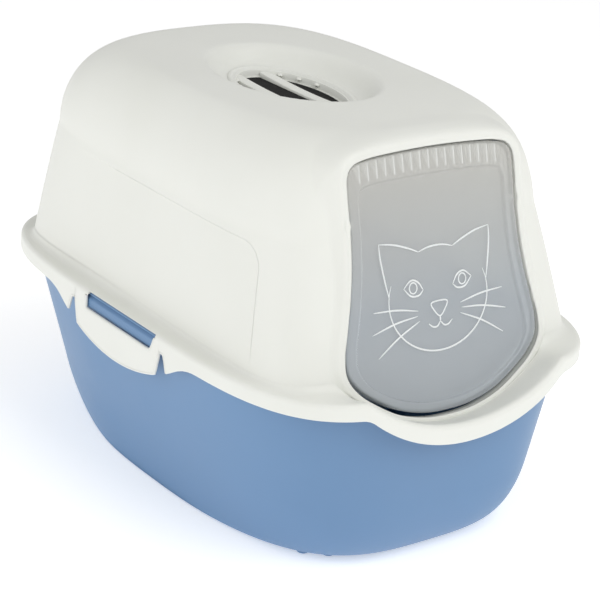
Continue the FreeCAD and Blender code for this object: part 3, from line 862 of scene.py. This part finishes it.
turn = np.linspace(-0.12, 1.12, 25) * np.pi
chin = [(58 * math.cos(t), 246 - 47 * math.sin(t)) for t in turn]
strokes = [chin, [(-20, 288), (-10, 290.5), (0, 291.2), (10, 290.5), (20, 288)], [(0, 229), (0, 224.5)]]
strokes += both([(57, 252), (61, 270), (64, 288), (64.5, 300.5)])
strokes += both([(64.5, 300.5), (48, 298), (32, 293), (20, 288)])
strokes += both([(17.5, 254.5), (23, 262), (31, 264.5), (40, 258.5)])
strokes += both([(17.5, 254.5), (23, 250.5), (32, 251), (40, 258.5)])
strokes += both([(0, 224.5), (4, 220.5), (9, 220.5), (14, 224)])
strokes += both([(25, 237), (50, 241.5), (76, 243)]) + both([(26, 232.5), (52, 230), (79, 224)])
strokes += both([(24, 228), (50, 217), (74, 203)])
lines = [face_line(points) for points in strokes]
lines += [face_line([(side * 29 + 4.4 * math.cos(t), 257.6 + 4.8 * math.sin(t))
                     for t in np.arange(8) * np.pi / 4], 0.65, 4, True) for side in (-1, 1)]
nose = [(-9.5, 241), (0, 242.5), (9.5, 241), (5.5, 233.5), (0, 229), (-5.5, 233.5)]
lines += [face_line(nose, 0.7, 6, True)]
add_piece("door_cat_lines", lines, painted_highlight_plastic, "door", sharp=60)

# %% [markdown]
# ## Vent
# The oval insert snaps into the recess. It has a collar in two steps and two bars along the
# roof; the black filter shows between them. Small lugs on the collar's far side hold it.

# %% Vent insert
def oval(a, b, steps=120):
    """An ellipse round the recess's middle: (a cos t, b sin t)."""
    turn = np.arange(steps) * 2 * np.pi / steps
    return np.stack([a * np.cos(turn), RECESS_Y + b * np.sin(turn)], -1)


def vent_collar():
    """A closed section of (inset, height) points carried round the vent's oval."""
    section_points = [(-6.5, 371.4), (-6.3, 372.6), (-5.4, 373.3), (-3.4, 373.5), (-2.2, 373.1),
                      (-1.4, 372.0), (-0.4, 371.4), (1.0, 371.5), (1.8, 371.1), (2.2, 370.0), (2.7, 364.6),
                      (4.2, 364.3), (4.2, 363.9), (0.4, 363.9), (0.3, 370.2), (-6.3, 370.6)]
    rows = np.array([np.concatenate([oval(VENT[0] - d, VENT[1] - d), np.full((120, 1), z)], 1)
                     for d, z in section_points + section_points[:1]])
    return rows, grid_faces(len(rows), 120)


def vent_bar(x):
    """A bar along the roof with a rounded top, which sags by 2.6 mm to its middle like the recess."""
    y = np.linspace(RECESS_Y - 68, RECESS_Y + 68, 24)
    rise = 2.6 * ((y - RECESS_Y) / 66) ** 2
    section_points = [(-6.2, 363.9), (-6.2, 365.0), (-5.7, 366.0), (-4.4, 366.5), (4.4, 366.5), (5.7, 366.0),
                      (6.2, 365.0), (6.2, 363.9), (-6.2, 363.9)]
    rows = np.array([np.stack([x + d + 0 * y, y, z + rise * (z > 364)], -1) for d, z in section_points])
    return rows, grid_faces(len(rows), 24, wrap=False)[:, ::-1]


def lug(turn):
    """A small rounded tooth on the inside of the collar."""
    place = np.array([(VENT[0] - 3) * math.cos(turn), RECESS_Y + (VENT[1] - 3) * math.sin(turn), 368.4])
    across, around = np.meshgrid(np.linspace(0, np.pi, 7), np.arange(10) * 2 * np.pi / 10, indexing="ij")
    ball = np.stack([2.6 * np.sin(across) * np.cos(around), 3.4 * np.sin(across) * np.sin(around),
                     -1.8 * np.cos(across)], -1)
    return place + ball, grid_faces(7, 10)


lugs = [lug(turn) for turn in np.radians([10, 30, 50, 130, 150, 170])]
shells = [vent_collar(), vent_bar(-17.6), vent_bar(17.6)] + lugs
add_piece("vent_insert", shells, hood_plastic, "hood", ["filter_grille"])

# %% [markdown]
# The filter pad and the cover that holds it are simple plates, so the CAD shapes stay and only
# take their material.

# %% Materials for the CAD pieces that stay
for cad_node, material in (("carbon_filter", fleece), ("filter_retainer", hood_plastic)):
    mesh = frame["nodes"][cad_node].data
    mesh.materials.clear()
    mesh.materials.append(material)
    print(cad_node, "takes", material.name)

# %% [markdown]
# ## Floor, light and camera
# The box stands on a light table, a matt white sheet that glows a little, as in a product studio:
# it keeps the ground white and the shadow faint. The room is a soft white, and one wide
# lamp hangs in front and one stands low at the left, so the roof's back is a little darker.

# %% Floor
bpy.ops.mesh.primitive_plane_add(size=30)
floor = bpy.context.object
floor.name = "floor"
paper, paper_tree, paper_shader, paper_place = start_material("floor_matt_white")
mottle(paper_tree, paper_place, paper_shader, "#F6F6F6", "#FAFAFA", 400.0, 0.85, 0.95)
paper_shader.inputs["Emission Color"].default_value = (1.0, 1.0, 1.0, 1.0)
paper_shader.inputs["Emission Strength"].default_value = 0.40
floor.data.materials.append(paper)

# %% World and lamps
world = bpy.data.worlds.new("soft_room")
world.use_nodes = True
room = world.node_tree.nodes["Background"]
room.inputs["Color"].default_value = (1, 1, 1, 1)
room.inputs["Strength"].default_value = 0.55
bpy.context.scene.world = world
bpy.context.scene.view_settings.view_transform = "Standard"


def softbox(name, place, aim, size, power):
    """A square area light at place that faces aim, in metres and watts."""
    light = bpy.data.lights.new(name, "AREA")
    light.size, light.energy = size, power
    lamp = bpy.data.objects.new(name, light)
    bpy.context.collection.objects.link(lamp)
    direction = np.array(place, float) - aim
    lamp.location = place
    lamp.rotation_euler = (math.atan2(np.hypot(*direction[:2]), direction[2]), 0,
                           math.atan2(direction[0], -direction[1]))
    return lamp


softbox("front", (0.5, -1.6, 1.9), (0, -0.1, 0.2), 2.0, 24)
softbox("left", (-2.3, 0.3, 1.0), (0, 0, 0.2), 1.8, 14)
print("lamps:", [lamp.name for lamp in bpy.data.lights])

# %% Camera
forward = np.array([0.580, 0.7256, -0.370])
forward /= np.linalg.norm(forward)
right = np.cross(forward, [0, 0, 1])
right /= np.linalg.norm(right)
above = np.cross(right, forward)
tilt = math.radians(5.09)
right, above = (right * math.cos(tilt) + above * math.sin(tilt),
                above * math.cos(tilt) - right * math.sin(tilt))
camera = bpy.data.objects.new("camera", bpy.data.cameras.new("camera"))
bpy.context.collection.objects.link(camera)
axes = np.eye(4)
axes[:3, 0], axes[:3, 1], axes[:3, 2], axes[:3, 3] = right, above, -forward, (-1.20660, -1.52616, 0.93958)
camera.matrix_world = Matrix(axes.tolist())
camera.data.lens = 126.7
camera.data.sensor_width = 36
bpy.context.scene.camera = camera
print("camera at", np.round(camera.location, 3))
